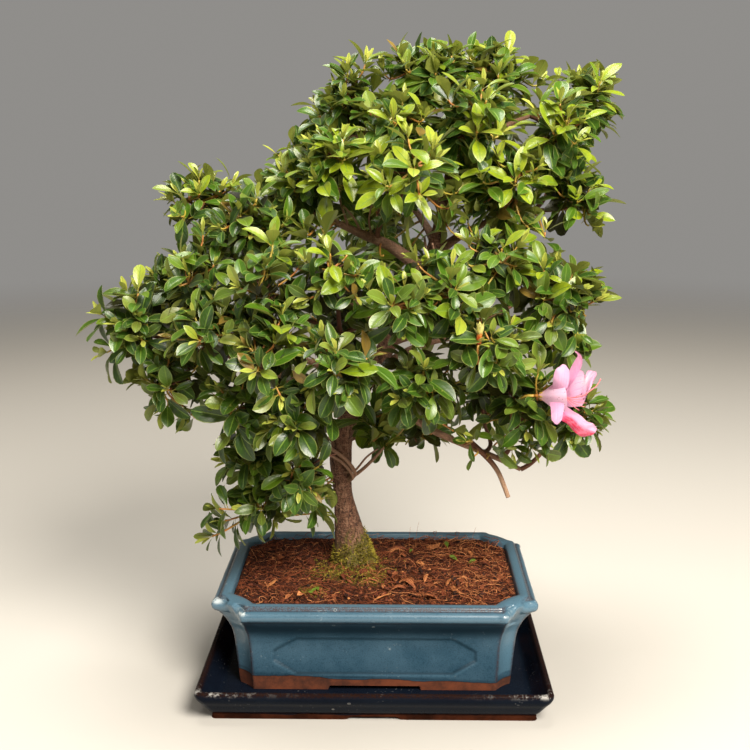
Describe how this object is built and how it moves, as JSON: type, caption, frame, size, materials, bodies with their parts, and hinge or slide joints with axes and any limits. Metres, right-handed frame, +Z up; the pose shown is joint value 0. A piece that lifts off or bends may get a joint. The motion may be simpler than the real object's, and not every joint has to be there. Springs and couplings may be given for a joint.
{
  "type": "azalea bonsai",
  "caption": "Flowering azalea bonsai with a leaning trunk and dense leafy crown, in a rectangular glazed pot on a glazed saucer.",
  "frame": {"origin": "centre of the pot's plan, on the surface that the saucer stands on", "axes": "+Z up, along the plant's height; +X along the pot's long side, to the right seen from the front; +Y away from the front"},
  "size_m": [0.439, 0.2935, 0.5422],
  "materials": {
    "glaze_dark": "near-black navy gloss glaze that thins to brown at the rim, unglazed red-brown foot strip",
    "glaze_blue": "blue glaze, satin gloss, breaking grey-brown along edges, unglazed terracotta band at the base",
    "soil": "matt fibrous red-brown peat with bark chips and moss",
    "bark": "matt finely fissured pinkish grey-brown bark, mossy at the foot",
    "leaf": "glossy deep green leaves with sunk veins, young leaves yellow-green",
    "petal": "soft pink petals, deeper at the throat, satin",
    "bud": "orange-red bud scales with yellow-green tips, satin"
  },
  "bodies": {
    "root": {"saucer": "glaze_dark", "pot": "glaze_blue", "soil": "soil", "trunk": "bark", "spray_apex_1": "leaf", "spray_apex_2": "leaf", "spray_apex_3": "leaf", "spray_apex_4": "leaf", "spray_apex_5": "leaf", "spray_apex_6": "leaf", "spray_apex_7": "leaf", "spray_apex_8": "leaf", "spray_apex_9": "leaf", "spray_shoulder_1": "leaf", "spray_shoulder_2": "leaf", "spray_shoulder_3": "leaf", "spray_shoulder_4": "leaf", "spray_shoulder_5": "leaf", "spray_shoulder_6": "leaf", "spray_shoulder_7": "leaf", "spray_upper_left_1": "leaf", "spray_upper_left_2": "leaf", "spray_upper_left_3": "leaf", "spray_upper_left_4": "leaf", "spray_left_1": "leaf", "spray_left_2": "leaf", "spray_left_3": "leaf", "spray_left_4": "leaf", "spray_left_5": "leaf", "spray_left_6": "leaf", "spray_front_1": "leaf", "spray_front_2": "leaf", "spray_front_3": "leaf", "spray_front_4": "leaf", "spray_front_5": "leaf", "spray_front_6": "leaf", "spray_front_7": "leaf", "spray_low_left_1": "leaf", "spray_low_left_2": "leaf", "spray_low_left_3": "leaf", "spray_right_1": "leaf", "spray_right_2": "leaf", "spray_right_3": "leaf", "spray_right_4": "leaf", "spray_right_5": "leaf", "spray_right_6": "leaf", "spray_low_right_1": "leaf", "spray_low_right_2": "leaf", "spray_low_right_3": "leaf", "spray_back_1": "leaf", "spray_back_2": "leaf", "spray_back_3": "leaf", "spray_back_4": "leaf", "spray_back_5": "leaf", "spray_back_6": "leaf", "spray_back_7": "leaf", "flower": "petal", "flower_bud": "bud"}
  },
  "joints": []
}
